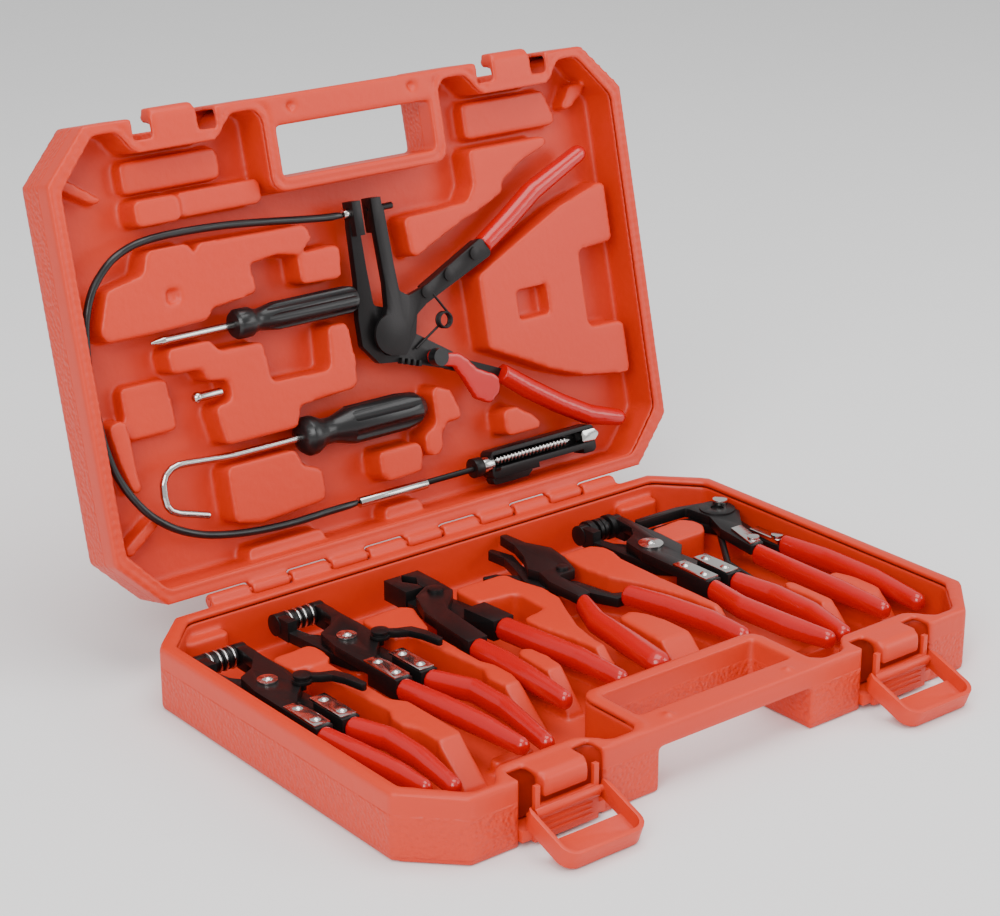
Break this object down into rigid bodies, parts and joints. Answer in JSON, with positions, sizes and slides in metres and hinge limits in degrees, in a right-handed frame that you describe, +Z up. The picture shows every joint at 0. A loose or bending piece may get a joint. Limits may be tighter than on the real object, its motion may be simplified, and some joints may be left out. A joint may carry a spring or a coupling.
{
  "type": "hose clamp pliers kit in case",
  "caption": "Open blow-moulded case with a hinged lid, two latches and a hand slot, holding swivel-jaw, ear, pinch and bent hose clamp pliers, cable pliers, screwdriver and hook.",
  "frame": {"origin": "centre of the base half's flat underside", "axes": "+X along the hinge line, +Y towards the hinge, +Z up out of the open base"},
  "size_m": [0.4, 0.3981, 0.2993],
  "materials": {
    "case_plastic": "satin blown plastic, pebbled low on the walls",
    "grip_vinyl": "glossy dipped vinyl",
    "black_steel": "black oxide steel",
    "bright_steel": "bright plated steel",
    "black_plastic": "black plastic",
    "cable_cover": "smooth black cable cover"
  },
  "bodies": {
    "base": {"base_shell": "case_plastic", "base_tray": "case_plastic", "hinge_rod": "case_plastic", "latch_plates": "case_plastic"},
    "lid": {"lid_shell": "case_plastic", "lid_tray": "case_plastic"},
    "left latch": {"latch_left": "case_plastic"},
    "right latch": {"latch_right": "case_plastic"},
    "edge pliers": {"edge_half_b": "black_steel", "edge_grip_b": "grip_vinyl", "edge_plate_b": "bright_steel"},
    "edge pliers arm": {"edge_half_a": "black_steel", "edge_grip_a": "grip_vinyl", "edge_plate_a": "bright_steel"},
    "edge pliers lock": {"edge_lock": "black_steel"},
    "edge pliers left jaw": {"edge_jaw_a": "black_steel"},
    "edge pliers right jaw": {"edge_jaw_b": "black_steel"},
    "swivel pliers": {"swivel_half_b": "black_steel", "swivel_grip_b": "grip_vinyl", "swivel_plate_b": "bright_steel"},
    "swivel pliers arm": {"swivel_half_a": "black_steel", "swivel_grip_a": "grip_vinyl", "swivel_plate_a": "bright_steel"},
    "swivel pliers lock": {"swivel_lock": "black_steel"},
    "swivel pliers left jaw": {"swivel_jaw_a": "black_steel"},
    "swivel pliers right jaw": {"swivel_jaw_b": "black_steel"},
    "ear pliers": {"ear_half_b": "black_steel", "ear_grip_b": "grip_vinyl"},
    "ear pliers arm": {"ear_half_a": "black_steel", "ear_grip_a": "grip_vinyl"},
    "pinch pliers": {"nose_half_b": "black_steel", "nose_grip_b": "grip_vinyl"},
    "pinch pliers arm": {"nose_half_a": "black_steel", "nose_grip_a": "grip_vinyl"},
    "wide pliers": {"wide_half_b": "black_steel", "wide_grip_b": "grip_vinyl", "wide_plate_b": "bright_steel"},
    "wide pliers arm": {"wide_half_a": "black_steel", "wide_grip_a": "grip_vinyl", "wide_plate_a": "bright_steel"},
    "bent pliers": {"bent_half_a": "black_steel", "bent_grip_a": "grip_vinyl", "bent_plate_a": "bright_steel"},
    "bent pliers arm": {"bent_half_b": "black_steel", "bent_grip_b": "grip_vinyl", "bent_plate_b": "bright_steel"},
    "cable pliers": {"cable_half_lo": "black_steel", "cable_grip_lo": "grip_vinyl", "cable_housing": "cable_cover", "cable_fittings": "bright_steel", "cable_head": "black_steel"},
    "cable pliers arm": {"cable_half_up": "black_steel", "cable_grip_up": "grip_vinyl"},
    "cable pliers lock": {"cable_lock": "grip_vinyl"},
    "cable jaw": {"cable_tip": "bright_steel"},
    "screwdriver": {"driver_shaft": "bright_steel", "driver_handle": "black_plastic"},
    "hook tool": {"hook_shaft": "bright_steel", "hook_handle": "black_plastic"},
    "pin": {"pin": "bright_steel"}
  },
  "joints": [
    {"name": "lid_hinge", "type": "hinge", "parent": "base", "child": "lid", "pos_m": [0, 0.1365, 0.036], "axis": [-1, 0, 0], "range_deg": [-103.6, 0]},
    {"name": "left_latch_hinge", "type": "hinge", "parent": "base", "child": "left latch", "pos_m": [-0.1175, -0.1345, 0.017], "axis": [1, 0, 0], "range_deg": [-110, 0]},
    {"name": "right_latch_hinge", "type": "hinge", "parent": "base", "child": "right latch", "pos_m": [0.1175, -0.1345, 0.017], "axis": [1, 0, 0], "range_deg": [-110, 0]},
    {"name": "edge_lift", "type": "slide", "parent": "base", "child": "edge pliers", "axis": [0, 0, 1], "range_m": [0, 0.08]},
    {"name": "edge_pivot", "type": "hinge", "parent": "edge pliers", "child": "edge pliers arm", "pos_m": [-0.171, 0.0435, 0.0245], "axis": [0, 0, 1], "range_deg": [0, 16.2]},
    {"name": "edge_lock_turn", "type": "hinge", "parent": "edge pliers", "child": "edge pliers lock", "pos_m": [-0.158, 0.0305, 0.0325], "axis": [0, 0, 1], "range_deg": [-5, 25]},
    {"name": "edge_left_jaw_spin", "type": "hinge", "parent": "edge pliers arm", "child": "edge pliers left jaw", "pos_m": [-0.177, 0.0905, 0.0245], "axis": [1, 0, 0], "continuous": true},
    {"name": "edge_right_jaw_spin", "type": "hinge", "parent": "edge pliers", "child": "edge pliers right jaw", "pos_m": [-0.165, 0.0905, 0.0245], "axis": [1, 0, 0], "continuous": true},
    {"name": "swivel_lift", "type": "slide", "parent": "base", "child": "swivel pliers", "axis": [0, 0, 1], "range_m": [0, 0.058]},
    {"name": "swivel_pivot", "type": "hinge", "parent": "swivel pliers", "child": "swivel pliers arm", "pos_m": [-0.107, 0.0625, 0.0245], "axis": [0, 0, 1], "range_deg": [0, 16.2]},
    {"name": "swivel_lock_turn", "type": "hinge", "parent": "swivel pliers", "child": "swivel pliers lock", "pos_m": [-0.094, 0.0495, 0.0325], "axis": [0, 0, 1], "range_deg": [-5, 25]},
    {"name": "swivel_left_jaw_spin", "type": "hinge", "parent": "swivel pliers arm", "child": "swivel pliers left jaw", "pos_m": [-0.113, 0.1095, 0.0245], "axis": [1, 0, 0], "continuous": true},
    {"name": "swivel_right_jaw_spin", "type": "hinge", "parent": "swivel pliers", "child": "swivel pliers right jaw", "pos_m": [-0.101, 0.1095, 0.0245], "axis": [1, 0, 0], "continuous": true},
    {"name": "ear_lift", "type": "slide", "parent": "base", "child": "ear pliers", "axis": [0, 0, 1], "range_m": [0, 0.08]},
    {"name": "ear_pivot", "type": "hinge", "parent": "ear pliers", "child": "ear pliers arm", "pos_m": [-0.032, 0.0815, 0.0245], "axis": [0, 0, 1], "range_deg": [0, 16.2]},
    {"name": "nose_lift", "type": "slide", "parent": "base", "child": "pinch pliers", "axis": [0, 0, 1], "range_m": [0, 0.058]},
    {"name": "nose_pivot", "type": "hinge", "parent": "pinch pliers", "child": "pinch pliers arm", "pos_m": [0.044, 0.0605, 0.0245], "axis": [0, 0, 1], "range_deg": [0, 16.2]},
    {"name": "wide_lift", "type": "slide", "parent": "base", "child": "wide pliers", "axis": [0, 0, 1], "range_m": [0, 0.08]},
    {"name": "wide_pivot", "type": "hinge", "parent": "wide pliers", "child": "wide pliers arm", "pos_m": [0.108, 0.0555, 0.0245], "axis": [0, 0, 1], "range_deg": [0, 16.2]},
    {"name": "bent_lift", "type": "slide", "parent": "base", "child": "bent pliers", "axis": [0, 0, 1], "range_m": [0, 0.058]},
    {"name": "bent_pivot", "type": "hinge", "parent": "bent pliers", "child": "bent pliers arm", "pos_m": [0.177, 0.0715, 0.0245], "axis": [0, 0, -1], "range_deg": [0, 16.2]},
    {"name": "cable_lift", "type": "slide", "parent": "lid", "child": "cable pliers", "axis": [0, -0.972, 0.2351], "range_m": [0, 0.026]},
    {"name": "cable_squeeze", "type": "hinge", "parent": "cable pliers", "child": "cable pliers arm", "pos_m": [0.006, 0.17642, 0.15083], "axis": [0, 0.972, -0.2351], "range_deg": [0, 5.2]},
    {"name": "cable_jaw_slide", "type": "slide", "parent": "cable pliers", "child": "cable jaw", "axis": [-1, 0, 0], "range_m": [0, 0.0061]},
    {"name": "cable_lock_turn", "type": "hinge", "parent": "cable pliers", "child": "cable pliers lock", "pos_m": [0.036, 0.17184, 0.13188], "axis": [0, -0.972, 0.2351], "range_deg": [-3, 3]},
    {"name": "screwdriver_lift", "type": "slide", "parent": "lid", "child": "screwdriver", "axis": [0, -0.972, 0.2351], "range_m": [0, 0.026]},
    {"name": "hook_lift", "type": "slide", "parent": "lid", "child": "hook tool", "axis": [0, -0.972, 0.2351], "range_m": [0, 0.026]},
    {"name": "pin_lift", "type": "slide", "parent": "lid", "child": "pin", "axis": [0, -0.972, 0.2351], "range_m": [0, 0.026]}
  ],
  "couplings": [
    {"joint": "edge_pivot", "follows": "edge_lift", "rad_per_m": 3.4907},
    {"joint": "swivel_pivot", "follows": "swivel_lift", "rad_per_m": 4.8147},
    {"joint": "ear_pivot", "follows": "ear_lift", "rad_per_m": 3.4907},
    {"joint": "nose_pivot", "follows": "nose_lift", "rad_per_m": 4.8147},
    {"joint": "wide_pivot", "follows": "wide_lift", "rad_per_m": 3.4907},
    {"joint": "bent_pivot", "follows": "bent_lift", "rad_per_m": 4.8147},
    {"joint": "cable_squeeze", "follows": "cable_lift", "rad_per_m": 3.3564},
    {"joint": "cable_jaw_slide", "follows": "cable_lift", "ratio": 0.23077}
  ]
}
